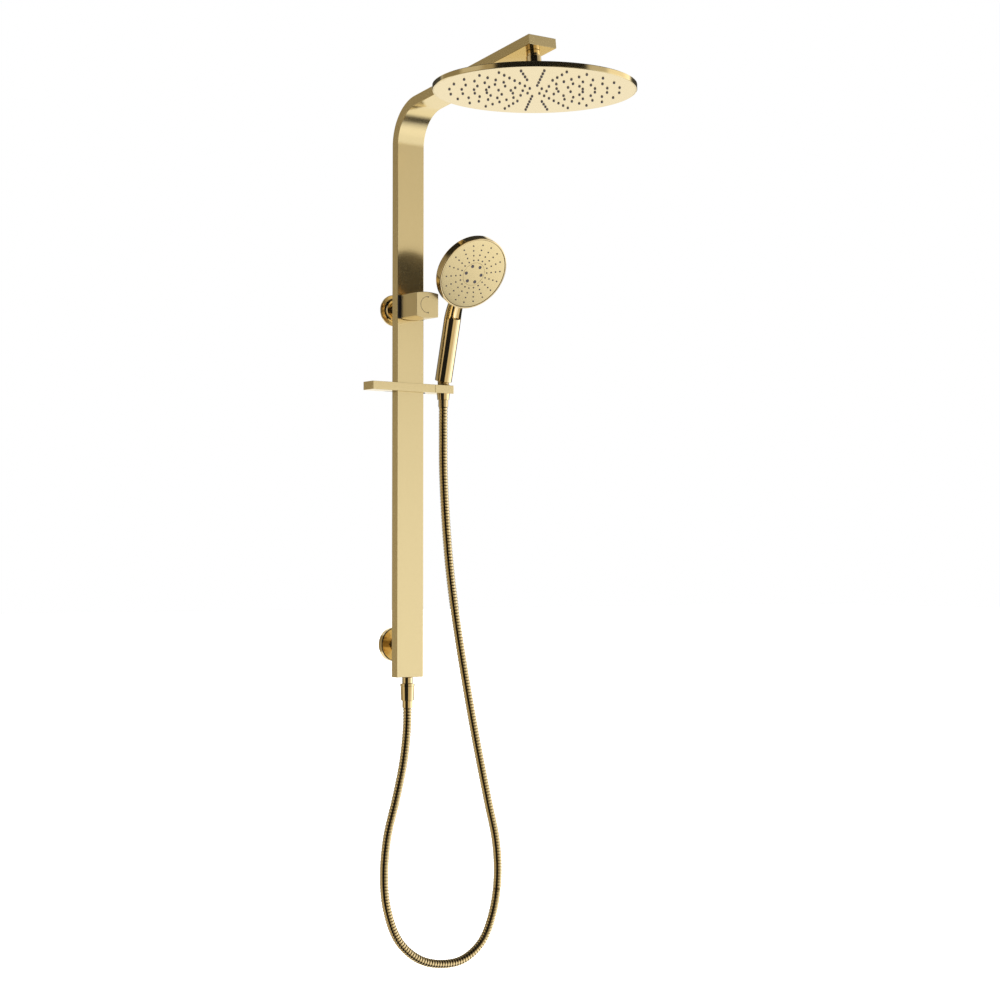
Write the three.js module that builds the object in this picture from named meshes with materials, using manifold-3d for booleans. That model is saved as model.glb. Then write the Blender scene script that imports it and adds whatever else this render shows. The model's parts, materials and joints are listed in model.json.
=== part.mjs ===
// Rainfall shower column: flat column with an overhead rain head, a diverter knob, and a slider bar
// that carries a round handset on a metal hose. Millimetres, +X right, +Y into the wall, +Z up.
// The origin lies on the wall plane, on the axis of the diverter and of the upper wall flange.
import * as THREE from 'three';
import { mergeVertices } from 'three/addons/utils/BufferGeometryUtils.js';
import Module from 'manifold-3d';

const wasm = await Module();
wasm.setup();

// ---------- driving dimensions ----------
const GAP = 0.3; // running gap between neighbouring pieces
const ROUND = 32; // facets around a large turned piece
const SMALL = 12; // facets around a small turned piece

const COLUMN_WIDTH = 50;
const COLUMN_DEPTH = 15;
const COLUMN_WALL = 1.6;
const COLUMN_STANDOFF = 35; // from the wall to the column's rear face
const COLUMN_BOTTOM = -583.7;
const BEND_START = 257; // height where the bend leaves the straight column
const BEND_RADIUS = 70; // outer radius of the bend
const ARM_RISE = THREE.MathUtils.degToRad(7); // the arm climbs by this much
const ARM_LENGTH = 298.5; // straight length of the arm's top face

const HEAD_AXIS = -374.5; // Y of the overhead head's axis
const HEAD_RADIUS = 150;
const HEAD_FACE = 285.8; // height of the spray face
const HEAD_RIM = 8;
const BALL_CENTRE = 312;
const BALL_RADIUS = 9.5;
const STEM_LENGTH = 32.9; // from the ball's centre to the arm

const FLANGE_RADIUS = 25; // the upper wall flange
const LOWER_BRACKET = -533; // height of the lower wall bracket
const KNOB_FRONT = -97.3;
const KNOB_REAR = -53.3;
const KNOB_HALF_WIDTH = 20.7;
const KNOB_HALF_HEIGHT = 18.4; // at its corners
const KNOB_CROWN = 2; // how far its top and bottom edges bulge

const BAR_HALF_LENGTH = 77;
const BAR_FRONT = -59.6;
const BAR_REAR = -32;
const BAR_TOP = -120.3;
const BAR_BOTTOM = -133.3;
const BAR_MIDDLE = (BAR_TOP + BAR_BOTTOM) / 2;
const SEAM = 41; // X of the joint between the bar and its swivelling end
const SWIVEL_Y = -45.8;

const HANDSET_X = 65;
const HANDSET_Y = -47; // the handset's upright turning axis
const HANDLE_FOOT = -113;
const HANDLE_LEAN = THREE.MathUtils.degToRad(14.8);
const HANDLE_RADIUS = 13.5;
const HANDLE_LENGTH = 110;
const NECK_RADIUS = 11;
const FACE_TILT = THREE.MathUtils.degToRad(31.7); // the spray face looks down by this much
const FACE_CENTRE = new THREE.Vector3(HANDSET_X, -130, 50);
const HANDSET_RADIUS = 60.5;

const HOSE_RADIUS = 7;
const OUTLET_Y = -COLUMN_STANDOFF - COLUMN_DEPTH / 2;
const FERRULE_END_LOW = -632.2;
const FERRULE_END_TOP = -154.4;

// ---------- materials ----------
function finish(color, roughness, metalness) {
  return new THREE.MeshStandardMaterial({ color, roughness, metalness });
}

const BRUSHED = finish(0xd3bd86, 0.34, 1);
const POLISHED = finish(0xd8bd80, 0.14, 1);
const RAW_BRASS = finish(0xb08d4c, 0.45, 1);
const DARK = finish(0x17140f, 0.5, 0.2);
const STEEL = finish(0xb9bcbf, 0.3, 1);
const RUBBER = finish(0x2a2a2b, 0.8, 0);
const PLASTIC = finish(0xdcdcd6, 0.6, 0);
const NOZZLE = finish(0x4b4a48, 0.7, 0);

// ---------- helpers ----------
const product = new THREE.Group();

/** A closed geometry as a manifold solid, with its faces pointing out. */
function solid(geometry) {
  const bare = geometry.clone();
  bare.deleteAttribute('normal');
  bare.deleteAttribute('uv');
  const merged = mergeVertices(bare, 1e-4);
  const points = merged.getAttribute('position').array;
  const triangles = [];
  for (let i = 0; i < merged.index.count; i += 3) {
    const [a, b, c] = [0, 1, 2].map((k) => merged.index.getX(i + k));
    if (a !== b && b !== c && c !== a) triangles.push(a, b, c);
  }
  if (signedVolume(points, triangles) < 0) triangles.reverse();
  const mesh = new wasm.Mesh({
    numProp: 3,
    vertProperties: new Float32Array(points),
    triVerts: new Uint32Array(triangles),
  });
  return new wasm.Manifold(mesh);
}

function signedVolume(points, triangles) {
  const corner = (i) => new THREE.Vector3().fromArray(points, 3 * triangles[i]);
  let total = 0;
  for (let i = 0; i < triangles.length; i += 3) {
    total += corner(i).dot(corner(i + 1).cross(corner(i + 2)));
  }
  return total;
}

/** Adds a solid to the product as one named mesh. */
function piece(name, shape, material) {
  const { vertProperties, triVerts } = shape.getMesh();
  const geometry = new THREE.BufferGeometry();
  geometry.setAttribute('position', new THREE.BufferAttribute(new Float32Array(vertProperties), 3));
  geometry.setIndex(new THREE.BufferAttribute(new Uint32Array(triVerts), 1));
  geometry.computeVertexNormals();
  const mesh = new THREE.Mesh(geometry, material);
  mesh.name = name;
  product.add(mesh);
}

/** A box between two corners. */
function box(x, y, z) {
  const geometry = new THREE.BoxGeometry(x[1] - x[0], y[1] - y[0], z[1] - z[0]);
  geometry.translate((x[0] + x[1]) / 2, (y[0] + y[1]) / 2, (z[0] + z[1]) / 2);
  return solid(geometry);
}

/** Turns a profile of [radius, height] pairs about the world axis given, through the point given. */
function turned(profile, axis = 'z', at = [0, 0, 0], facets = ROUND) {
  const points = profile.map(([r, h]) => new THREE.Vector2(r, h));
  if (profile[0][0] > 0) points.push(points[0].clone());
  const geometry = new THREE.LatheGeometry(points, facets);
  if (axis === 'z') geometry.rotateX(Math.PI / 2);
  if (axis === 'x') geometry.rotateZ(-Math.PI / 2);
  geometry.translate(...at);
  return solid(geometry);
}

/** A plain round rod, low and high along the axis. */
const rod = (radius, low, high, axis, at, facets = SMALL) =>
  turned([[0, low], [radius, low], [radius, high], [0, high]], axis, at, facets);

/** A round sleeve, low and high along the axis. */
const sleeve = (inner, outer, low, high, axis, at, facets = SMALL) =>
  turned([[inner, low], [outer, low], [outer, high], [inner, high]], axis, at, facets);

/** Extrudes a shape drawn as (distance from the wall, height) across the width, centred on X = 0. */
function sideways(shape, width, curveSegments = 14) {
  const geometry = new THREE.ExtrudeGeometry(shape, { depth: width, bevelEnabled: false, curveSegments });
  const turn = new THREE.Matrix4().makeBasis(
    new THREE.Vector3(0, -1, 0),
    new THREE.Vector3(0, 0, 1),
    new THREE.Vector3(-1, 0, 0),
  );
  geometry.applyMatrix4(turn);
  geometry.translate(width / 2, 0, 0);
  return solid(geometry);
}

/** A rectangle with rounded corners, drawn in (x, z) and extruded along Y from rear to front. */
function roundedPlate(halfX, halfZ, radius, rear, front) {
  const shape = new THREE.Shape();
  shape.absarc(halfX - radius, halfZ - radius, radius, 0, Math.PI / 2);
  shape.absarc(-halfX + radius, halfZ - radius, radius, Math.PI / 2, Math.PI);
  shape.absarc(-halfX + radius, -halfZ + radius, radius, Math.PI, Math.PI * 1.5);
  shape.absarc(halfX - radius, -halfZ + radius, radius, Math.PI * 1.5, Math.PI * 2);
  return forward(shape, rear, front);
}

/** Extrudes a shape drawn in (x, z) along Y, from its rear face to its front face. */
function forward(shape, rear, front) {
  const depth = rear - front;
  const geometry = new THREE.ExtrudeGeometry(shape, { depth, bevelEnabled: false, curveSegments: 6 });
  geometry.rotateX(Math.PI / 2);
  geometry.translate(0, rear, 0);
  return solid(geometry);
}

/** A round tube along a curve. */
function tube(curve, outer, inner, steps, sides = 10) {
  const shape = new THREE.Shape().absarc(0, 0, outer, 0, Math.PI * 2);
  if (inner > 0) shape.holes.push(new THREE.Path().absarc(0, 0, inner, 0, Math.PI * 2, true));
  const geometry = new THREE.ExtrudeGeometry(shape, { steps, extrudePath: curve, curveSegments: sides });
  return solid(geometry);
}

/** Places a solid built about the origin: its Z axis goes along the direction given, X stays. */
function along(shape, direction, at) {
  const x = new THREE.Vector3(1, 0, 0);
  const y = new THREE.Vector3().crossVectors(direction, x);
  const place = new THREE.Matrix4().makeBasis(x, y, direction).setPosition(at);
  return shape.transform(place.toArray());
}

// ---------- column and arm ----------
/** Outline of the column and arm seen from the side, drawn inset by a wall thickness. */
function columnOutline(inset, bottom) {
  const rear = COLUMN_STANDOFF + inset;
  const front = COLUMN_STANDOFF + COLUMN_DEPTH - inset;
  const bendX = COLUMN_STANDOFF + BEND_RADIUS;
  const outer = BEND_RADIUS - inset;
  const inner = BEND_RADIUS - COLUMN_DEPTH + inset;
  const armAngle = Math.PI / 2 + ARM_RISE;
  const reach = ARM_LENGTH - inset;
  const shape = new THREE.Shape();
  shape.moveTo(front, bottom);
  shape.lineTo(rear, bottom);
  shape.absarc(bendX, BEND_START, outer, Math.PI, armAngle, true);
  const tip = (radius) => [
    bendX + radius * Math.cos(armAngle) + reach * Math.cos(ARM_RISE),
    BEND_START + radius * Math.sin(armAngle) + reach * Math.sin(ARM_RISE),
  ];
  shape.lineTo(...tip(outer));
  shape.lineTo(...tip(inner));
  shape.absarc(bendX, BEND_START, inner, armAngle, Math.PI, false);
  shape.closePath();
  return shape;
}

function columnRail() {
  const inside = sideways(columnOutline(COLUMN_WALL, COLUMN_BOTTOM - 1), COLUMN_WIDTH - 2 * COLUMN_WALL);
  return sideways(columnOutline(0, COLUMN_BOTTOM), COLUMN_WIDTH)
    .subtract(inside)
    .subtract(rod(13 + GAP, -60, -30, 'y', [0, 0, 0], ROUND))
    .subtract(leaning(rod(7.2, BALL_CENTRE + 25, BALL_CENTRE + 42, 'z', [0, HEAD_AXIS, 0])))
    .subtract(rod(3.2, -40, -30, 'y', [0, 0, LOWER_BRACKET]));
}

function columnBottomPlug() {
  const halfX = COLUMN_WIDTH / 2 - COLUMN_WALL - GAP;
  const halfY = COLUMN_DEPTH / 2 - COLUMN_WALL - GAP;
  return box([-halfX, halfX], [OUTLET_Y - halfY, OUTLET_Y + halfY], [COLUMN_BOTTOM, COLUMN_BOTTOM + 12])
    .subtract(rod(4.8, COLUMN_BOTTOM - 1, COLUMN_BOTTOM + 13, 'z', [0, OUTLET_Y, 0]));
}

function outletSpigot() {
  const collar = COLUMN_BOTTOM - GAP;
  return turned([
    [3, -604.5], [7.4, -604.5], [7.4, -593.6], [8.5, -593.3], [8.5, collar], [4.5, collar],
    [4.5, -561], [3, -561],
  ], 'z', [0, OUTLET_Y, 0]);
}

/** The middle line of the column's inside, from a height above the diverter to the head's nipple. */
function headFeedPath() {
  const middle = BEND_RADIUS - COLUMN_DEPTH / 2;
  const bendY = -(COLUMN_STANDOFF + BEND_RADIUS);
  const turn = Math.PI / 2 - ARM_RISE;
  const path = new THREE.CurvePath();
  const point = (angle, reach = 0) => new THREE.Vector3(
    0,
    bendY + middle * Math.cos(angle) - reach * Math.cos(ARM_RISE),
    BEND_START + middle * Math.sin(angle) + reach * Math.sin(ARM_RISE),
  );
  path.add(new THREE.LineCurve3(new THREE.Vector3(0, OUTLET_Y, 22.5), point(0)));
  const bendSteps = 8;
  for (let i = 0; i < bendSteps; i += 1) {
    path.add(new THREE.LineCurve3(point((turn * i) / bendSteps), point((turn * (i + 1)) / bendSteps)));
  }
  path.add(new THREE.LineCurve3(point(turn), point(turn, 262)));
  return path;
}

function columnPieces() {
  piece('column_rail', columnRail(), BRUSHED);
  piece('column_bottom_plug', columnBottomPlug(), RAW_BRASS);
  piece('outlet_spigot', outletSpigot(), POLISHED);
  piece('head_feed_tube', tube(headFeedPath(), 4, 2.8, 32, 4), PLASTIC);
  piece('hand_feed_tube', sleeve(2.8, 4, -560.5, -22.5, 'z', [0, OUTLET_Y, 0], 12), PLASTIC);
}

// ---------- wall fixings ----------
function upperWallFlange() {
  return turned([
    [13.3, -9], [17, -9], [18, -5.2], [19.6, -4], [FLANGE_RADIUS, -3.6], [FLANGE_RADIUS, 0],
    [FLANGE_RADIUS - 1.6, 0], [FLANGE_RADIUS - 1.6, -2.2], [13.3, -2.2],
  ], 'y');
}

function lowerWallFlange() {
  return turned([
    [11.3, -10], [26, -10], [27, -9.2], [27, 0], [25.4, 0], [25.4, -8.4], [11.3, -8.4],
  ], 'y', [0, 0, LOWER_BRACKET]);
}

function wallBracket() {
  const screwHoles = [-16, 16].map((x) => rod(2.7, -6, 1, 'y', [x, 0, LOWER_BRACKET]));
  const body = turned([
    [0, -34.7], [11, -34.7], [11, -4], [23, -4], [23, 0], [0, 0],
  ], 'y', [0, 0, LOWER_BRACKET])
    .subtract(rod(3.1, -40, -18, 'y', [0, 0, LOWER_BRACKET]));
  return screwHoles.reduce((shape, hole) => shape.subtract(hole), body);
}

const wallScrew = (x) => turned([
  [0, -7], [4.2, -7], [4.6, -4.3], [2.4, -4.3], [2.4, 0], [0, 0],
], 'y', [x, 0, LOWER_BRACKET], SMALL);

function wallPieces() {
  piece('upper_wall_flange', upperWallFlange(), POLISHED);
  piece('upper_wall_seal', sleeve(13.6, 21.8, -1.8, 0, 'y', [0, 0, 0], ROUND), RUBBER);
  piece('lower_wall_flange', lowerWallFlange(), POLISHED);
  piece('wall_bracket', wallBracket(), RAW_BRASS);
  piece('wall_screw_left', wallScrew(-16), STEEL);
  piece('wall_screw_right', wallScrew(16), STEEL);
  piece('anchor_stud', rod(2.8, -38.2, -18.4, 'y', [0, 0, LOWER_BRACKET], 12), STEEL);
  piece('anchor_nut', sleeve(3.1, 6.4, -38.2, -36.9, 'y', [0, 0, LOWER_BRACKET], 12), STEEL);
}

// ---------- diverter ----------
function diverterHousing() {
  const port = (low, high) => sleeve(3, 5, low, high, 'z', [0, OUTLET_Y, 0]);
  const portBore = rod(3, -22, 22, 'z', [0, OUTLET_Y, 0]);
  const body = rod(13, -49.8, -0.2, 'y', [0, 0, 0], ROUND);
  const bore = rod(10.3, -51, -15, 'y', [0, 0, 0]);
  const inlet = rod(6, -16, 1, 'y', [0, 0, 0]);
  return body.add(port(11.5, 22.2)).add(port(-22.2, -11.5))
    .subtract(bore).subtract(inlet).subtract(portBore);
}

function diverterCartridge() {
  return turned([
    [0, -29.8], [4.1, -29.8], [4.1, -44], [9.8, -44], [9.8, -22.8], [8.6, -22.8], [8.6, -20], [9.8, -20],
    [9.8, -15.5], [0, -15.5],
  ], 'y', [0, 0, 0], SMALL);
}

/** The knob's face outline: flat sides, with crowned top and bottom edges. */
function knobOutline(shrink) {
  const w = KNOB_HALF_WIDTH - shrink;
  const h = KNOB_HALF_HEIGHT - shrink;
  const shape = new THREE.Shape();
  shape.moveTo(-w, -h);
  shape.quadraticCurveTo(0, -h - 2 * KNOB_CROWN, w, -h);
  shape.lineTo(w, h);
  shape.quadraticCurveTo(0, h + 2 * KNOB_CROWN, -w, h);
  shape.closePath();
  return shape;
}

function diverterKnob() {
  const pocket = forward(knobOutline(3), KNOB_REAR + 1, KNOB_REAR - 34);
  const boss = rod(7.5, KNOB_REAR - 35, KNOB_REAR, 'y', [0, 0, 0]);
  const bore = rod(4, KNOB_REAR - 20, KNOB_REAR + 1, 'y', [0, 0, 0]);
  const grubHole = rod(2.3, -24, -3, 'z', [0, KNOB_REAR - 9, 0], 12);
  return forward(knobOutline(0), KNOB_REAR, KNOB_FRONT)
    .subtract(pocket).add(boss).subtract(bore).subtract(grubHole);
}

function diverterPieces() {
  piece('inlet_strainer', rod(5.7, -5, -2.5, 'y', [0, 0, 0], SMALL), STEEL);
  piece('diverter_housing', diverterHousing(), POLISHED);
  piece('diverter_cartridge', diverterCartridge(), PLASTIC);
  piece('cartridge_o_ring', sleeve(8.9, 10, -22.5, -20.3, 'y', [0, 0, 0]), RUBBER);
  piece('cartridge_nut', sleeve(4.4, 9.9, -49.6, -44.3, 'y', [0, 0, 0]), RAW_BRASS);
  const plate = roundedPlate(COLUMN_WIDTH / 2, KNOB_HALF_HEIGHT, 1.5, -50.3, KNOB_REAR + GAP);
  piece('diverter_base_plate', plate.subtract(rod(5, -60, -50, 'y', [0, 0, 0])), DARK);
  piece('diverter_knob', diverterKnob(), BRUSHED);
  piece('diverter_spindle', rod(3.7, KNOB_REAR - 19.5, -30.2, 'y', [0, 0, 0], 16), RAW_BRASS);
  piece('knob_grub_screw', rod(2, -19.8, -4.1, 'z', [0, KNOB_REAR - 9, 0], 12), STEEL);
}

// ---------- slider ----------
const SWIVEL_AT = [0, SWIVEL_Y, BAR_MIDDLE];

function sliderBar() {
  const z = [BAR_BOTTOM - 1, BAR_TOP + 1];
  const pad = (x) => [Math.min(x, 0), Math.max(x, 0)];
  const sidePocket = (x) => box(pad(x), [-46.3, -38.7], [BAR_MIDDLE - 5.3, BAR_MIDDLE + 5.3]);
  const screwHole = (x) => rod(1.8, -41.2, -30, 'y', [x, 0, BAR_MIDDLE], 12);
  return box([-BAR_HALF_LENGTH, SEAM - 0.1], [BAR_FRONT, BAR_REAR], [BAR_BOTTOM, BAR_TOP])
    .subtract(box([-26.2, 26.2], [-50.7, -30], z))
    .subtract(box([-38.3, 38.3], [-34.8, -30], z))
    .subtract(sidePocket(-27.8))
    .subtract(sidePocket(27.8))
    .subtract(box([-6.3, 6.3], [-56.2, -50], [BAR_MIDDLE - 4.8, BAR_MIDDLE + 4.8]))
    .subtract(screwHole(-33))
    .subtract(screwHole(33))
    .subtract(rod(4.3, 30.2, SEAM + 1, 'x', SWIVEL_AT))
    .subtract(rod(6, 39.6, SEAM + 1, 'x', SWIVEL_AT));
}

function sliderBackPlate() {
  const halves = [-33, 33].map((x) => rod(3.2, -33.9, -31, 'y', [x, 0, BAR_MIDDLE], 16)
    .add(rod(1.8, -36, -31, 'y', [x, 0, BAR_MIDDLE], 12)));
  return box([-38, 38], [-34.5, BAR_REAR - 0.2], [BAR_BOTTOM, BAR_TOP])
    .subtract(halves[0])
    .subtract(halves[1]);
}

const plateScrew = (x) => turned([
  [0, -41], [1.5, -41], [1.5, -33.6], [2.9, -33.6], [2.9, -32.4], [0, -32.4],
], 'y', [x, 0, BAR_MIDDLE], 12);

function glidePad(side) {
  const x = [25.3, 27.5].map((value) => value * side).sort((a, b) => a - b);
  return box(x, [-46, -39], [BAR_MIDDLE - 5, BAR_MIDDLE + 5]);
}

function handsetHolder() {
  const z = [BAR_BOTTOM - 1, BAR_TOP + 1];
  const at = [HANDSET_X, HANDSET_Y, 0];
  const seat = turned([
    [0, z[0]], [10.5, z[0]], [10.5, BAR_BOTTOM], [11.2, BAR_TOP], [11.2, z[1]], [0, z[1]],
  ], 'z', at);
  return box([SEAM + 0.2, BAR_HALF_LENGTH], [BAR_FRONT, BAR_REAR], [BAR_BOTTOM, BAR_TOP])
    .subtract(seat)
    .subtract(box([HANDSET_X, BAR_HALF_LENGTH + 1], [HANDSET_Y - 8.2, HANDSET_Y + 8.2], z))
    .subtract(rod(4.3, SEAM - 1, 51.3, 'x', SWIVEL_AT))
    .subtract(rod(6, SEAM - 1, 42.6, 'x', SWIVEL_AT));
}

function sliderPieces() {
  piece('slider_bar', sliderBar(), BRUSHED);
  piece('slider_back_plate', sliderBackPlate(), RAW_BRASS);
  piece('plate_screw_left', plateScrew(-33), STEEL);
  piece('plate_screw_right', plateScrew(33), STEEL);
  piece('glide_pad_left', glidePad(-1), PLASTIC);
  piece('glide_pad_right', glidePad(1), PLASTIC);
  piece('brake_pad', box([-6, 6], [-52.6, -50.3], [BAR_MIDDLE - 4.5, BAR_MIDDLE + 4.5]), PLASTIC);
  piece('brake_spring', sleeve(2, 3.6, -55.9, -52.9, 'y', [0, 0, BAR_MIDDLE], 12), STEEL);
  piece('handset_holder', handsetHolder(), BRUSHED);
  piece('swivel_shaft', rod(4, 30.5, 51, 'x', SWIVEL_AT, 16), STEEL);
  piece('friction_washer', sleeve(4.3, 5.7, 39.9, 42.3, 'x', SWIVEL_AT), RUBBER);
}

// ---------- hose ----------
/** The hose hangs in one loop: down from the column, under the loop, and up to the handset. */
const HOSE_ROUTE = [
  [0, FERRULE_END_LOW - GAP], [-1, -664], [-8, -718], [-22, -775], [-38, -832], [-44, -889], [-39, -942],
  [-17, -995], [22, -1028], [68, -1040], [108, -1036], [143, -1012], [164, -970], [174, -915], [171, -855],
  [154, -785], [131, -689], [111, -597], [92, -500], [78, -410], [69, -315], [65.5, -250], [65, -205],
  [65, FERRULE_END_TOP - GAP],
];
const HOSE_SPLITS = [0, 0.45, 0.86, 1]; // shares of the hose's length where its three stretches meet

/** A stretch of a longer curve, from one share of its length to another. */
class Stretch extends THREE.Curve {
  constructor(whole, from, to) {
    super();
    this.whole = whole;
    this.from = from;
    this.to = to;
  }

  getPoint(t) {
    return this.whole.getPointAt(THREE.MathUtils.lerp(this.from, this.to, t));
  }
}

function hosePieces() {
  const last = HOSE_ROUTE.length - 1;
  const whole = new THREE.CatmullRomCurve3(HOSE_ROUTE.map(([x, z], i) => (
    new THREE.Vector3(x, THREE.MathUtils.lerp(OUTLET_Y, HANDSET_Y, i / last), z)
  )), false, 'centripetal');
  const clear = GAP / 2 / whole.getLength();
  const steps = [28, 36, 4];
  ['hose_tube_lower', 'hose_tube_riser', 'hose_tube_top'].forEach((name, i) => {
    const from = HOSE_SPLITS[i] + (i > 0 ? clear : 0);
    const to = HOSE_SPLITS[i + 1] - (i < 2 ? clear : 0);
    piece(name, tube(new Stretch(whole, from, to), HOSE_RADIUS, 0, steps[i], 5), STEEL);
  });
}

function hoseEndPieces() {
  const low = [0, OUTLET_Y, 0];
  const top = [HANDSET_X, HANDSET_Y, 0];
  piece('hose_nut_bottom', turned([
    [7.7, -593.6], [11.4, -593.6], [11.4, -597], [10.2, -620.5], [7.2, -620.5], [7.2, -607], [7.7, -607],
  ], 'z', low), POLISHED);
  piece('hose_washer_bottom', sleeve(3.2, 7.3, -606.6, -604.9, 'z', low), RUBBER);
  piece('hose_ferrule_bottom', sleeve(7.25, 8.1, FERRULE_END_LOW, -620.8, 'z', low), POLISHED);
  piece('hose_ferrule_top', sleeve(7.25, 7.8, FERRULE_END_TOP, -143.5, 'z', top), POLISHED);
  piece('hose_cone_nut', turned([
    [7.2, -143.2], [9.3, -143.2], [10.2, BAR_BOTTOM], [10.9, BAR_TOP], [10.1, -118.6], [8, -118.6],
    [8, -124], [7.2, -124],
  ], 'z', top), POLISHED);
  piece('hose_washer_top', sleeve(3, 7.7, -123.7, -122.2, 'z', top), RUBBER);
  piece('check_valve', sleeve(2.5, 6.9, -137, -124.3, 'z', top), PLASTIC);
}

// ---------- handset ----------
const HANDLE_UP = new THREE.Vector3(0, -Math.sin(HANDLE_LEAN), Math.cos(HANDLE_LEAN));
const HANDLE_BASE = new THREE.Vector3(HANDSET_X, HANDSET_Y, HANDLE_FOOT);
const FACE_NORMAL = new THREE.Vector3(0, -Math.cos(FACE_TILT), -Math.sin(FACE_TILT));
const FACE_UP = new THREE.Vector3(0, -Math.sin(FACE_TILT), Math.cos(FACE_TILT));
const BACK_DEPTH = 24; // from the spray face to the middle of the domed back
const RIM_DEPTH = 12.3;
const PLATE_RADIUS = 57.4;
const CAP_RADIUS = 19.2; // the round cap in the middle of the spray face

/** Depth behind the spray face of the domed back, or of its inside when a wall is given. */
function domeDepth(radius, wall = 0) {
  const rise = BACK_DEPTH - RIM_DEPTH;
  const ball = (HANDSET_RADIUS ** 2 + rise ** 2) / (2 * rise);
  return -BACK_DEPTH + wall + ball - Math.sqrt(ball ** 2 - radius ** 2);
}

function handsetHeadShell() {
  const outer = [0, 20, 38, 50].map((r) => [r, domeDepth(r)]);
  const inner = [50, 38, 20, 0].map((r) => [r, domeDepth(r, 2.2)]);
  const lip = PLATE_RADIUS + GAP;
  const rim = [
    [HANDSET_RADIUS, -RIM_DEPTH], [HANDSET_RADIUS, -0.9], [59.5, 0], [lip, 0], [lip, -5], [52, -5],
  ];
  return along(turned([...outer, ...rim, ...inner], 'z', [0, 0, 0], 48), FACE_NORMAL, FACE_CENTRE);
}

function handsetBody() {
  const knee = HANDLE_BASE.clone().addScaledVector(HANDLE_UP, HANDLE_LENGTH + 6);
  const handle = along(turned([
    [0, 0], [12.9, 0], [HANDLE_RADIUS, 0.8], [HANDLE_RADIUS, HANDLE_LENGTH - 2],
    [NECK_RADIUS, HANDLE_LENGTH], [NECK_RADIUS, HANDLE_LENGTH + 6], [0, HANDLE_LENGTH + 6],
  ], 'z', [0, 0, 0], 24), HANDLE_UP, HANDLE_BASE);
  const neck = along(rod(NECK_RADIUS, 0, 44, 'z', [0, 0, 0], 24), FACE_UP, knee);
  const ball = solid(new THREE.SphereGeometry(NECK_RADIUS, 24, 10)).translate(knee.toArray());
  const neckEnd = knee.clone().addScaledVector(FACE_UP, 44);
  const cap = solid(new THREE.SphereGeometry(NECK_RADIUS, 24, 10)).translate(neckEnd.toArray());
  const bore = along(rod(11, -1, HANDLE_LENGTH - 6, 'z', [0, 0, 0]), HANDLE_UP, HANDLE_BASE);
  const throat = along(rod(6, HANDLE_LENGTH - 8, HANDLE_LENGTH + 8, 'z', [0, 0, 0]), HANDLE_UP, HANDLE_BASE);
  const channel = along(rod(6, 0, 42, 'z', [0, 0, 0]), FACE_UP, knee);
  const faceRoom = along(rod(50, -8, 1, 'z', [0, 0, 0], 48), FACE_NORMAL, FACE_CENTRE);
  const portAt = FACE_CENTRE.clone().addScaledVector(FACE_UP, -22);
  const waterPort = along(rod(6, -18, -4, 'z', [0, 0, 0]), FACE_NORMAL, portAt);
  return handle.add(neck).add(ball).add(cap).subtract(faceRoom).add(handsetHeadShell())
    .subtract(bore).subtract(throat).subtract(channel).subtract(waterPort);
}

function handsetInlet() {
  const plug = along(rod(10.6, 1, 14, 'z', [0, 0, 0]), HANDLE_UP, HANDLE_BASE);
  const stem = rod(9, -118.3, HANDLE_FOOT + 6, 'z', [HANDSET_X, HANDSET_Y, 0]);
  const thread = rod(7.6, -121.9, -118, 'z', [HANDSET_X, HANDSET_Y, 0]);
  const water = rod(3.5, -123, HANDLE_FOOT + 4, 'z', [HANDSET_X, HANDSET_Y, 0], 12);
  const upper = along(rod(3.5, 2, 16, 'z', [0, 0, 0], 12), HANDLE_UP, HANDLE_BASE);
  return plug.add(stem).add(thread).subtract(water).subtract(upper);
}

function onFace(profile, facets = 48) {
  return along(turned(profile, 'z', [0, 0, 0], facets), FACE_NORMAL, FACE_CENTRE);
}

function handsetPieces() {
  piece('handset_body', handsetBody(), POLISHED);
  piece('handset_inlet', handsetInlet(), RAW_BRASS);
  const waterway = along(sleeve(4, 6.5, 14.5, HANDLE_LENGTH - 9, 'z', [0, 0, 0]), HANDLE_UP, HANDLE_BASE);
  piece('handset_waterway', waterway, PLASTIC);
  piece('handset_spray_disc', onFace([[0, -7.7], [44, -7.7], [44, -6], [0, -6]], ROUND), PLASTIC);
  const mat = [[0, -4.8], [PLATE_RADIUS, -4.8], [PLATE_RADIUS, -2.5], [0, -2.5]];
  piece('handset_nozzle_mat', onFace(mat), NOZZLE);
  const plateInner = CAP_RADIUS + GAP;
  piece('handset_face_plate', onFace([
    [plateInner, -2.2], [PLATE_RADIUS, -2.2], [PLATE_RADIUS, 0], [plateInner, 0],
  ]), BRUSHED);
  const cap = [[0, -2.2], [CAP_RADIUS, -2.2], [CAP_RADIUS, 0], [0, 0]];
  piece('handset_centre_cap', onFace(cap, ROUND), BRUSHED);
}

// ---------- overhead head ----------
const HEAD_AT = [0, HEAD_AXIS, 0];

/** Points of an arc on the ball joint's spherical surfaces, between two heights from its centre. */
function ballArc(radius, from, to, count = 7) {
  return Array.from({ length: count }, (_, i) => {
    const h = THREE.MathUtils.lerp(from, to, i / (count - 1));
    return [Math.sqrt(radius ** 2 - h ** 2), BALL_CENTRE + h];
  });
}

/** The stem stands square to the sloping arm, so it leans back about the ball's centre. */
function leaning(shape) {
  return shape.translate([0, -HEAD_AXIS, -BALL_CENTRE])
    .rotate([-THREE.MathUtils.radToDeg(ARM_RISE), 0, 0])
    .translate([0, HEAD_AXIS, BALL_CENTRE]);
}

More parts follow.
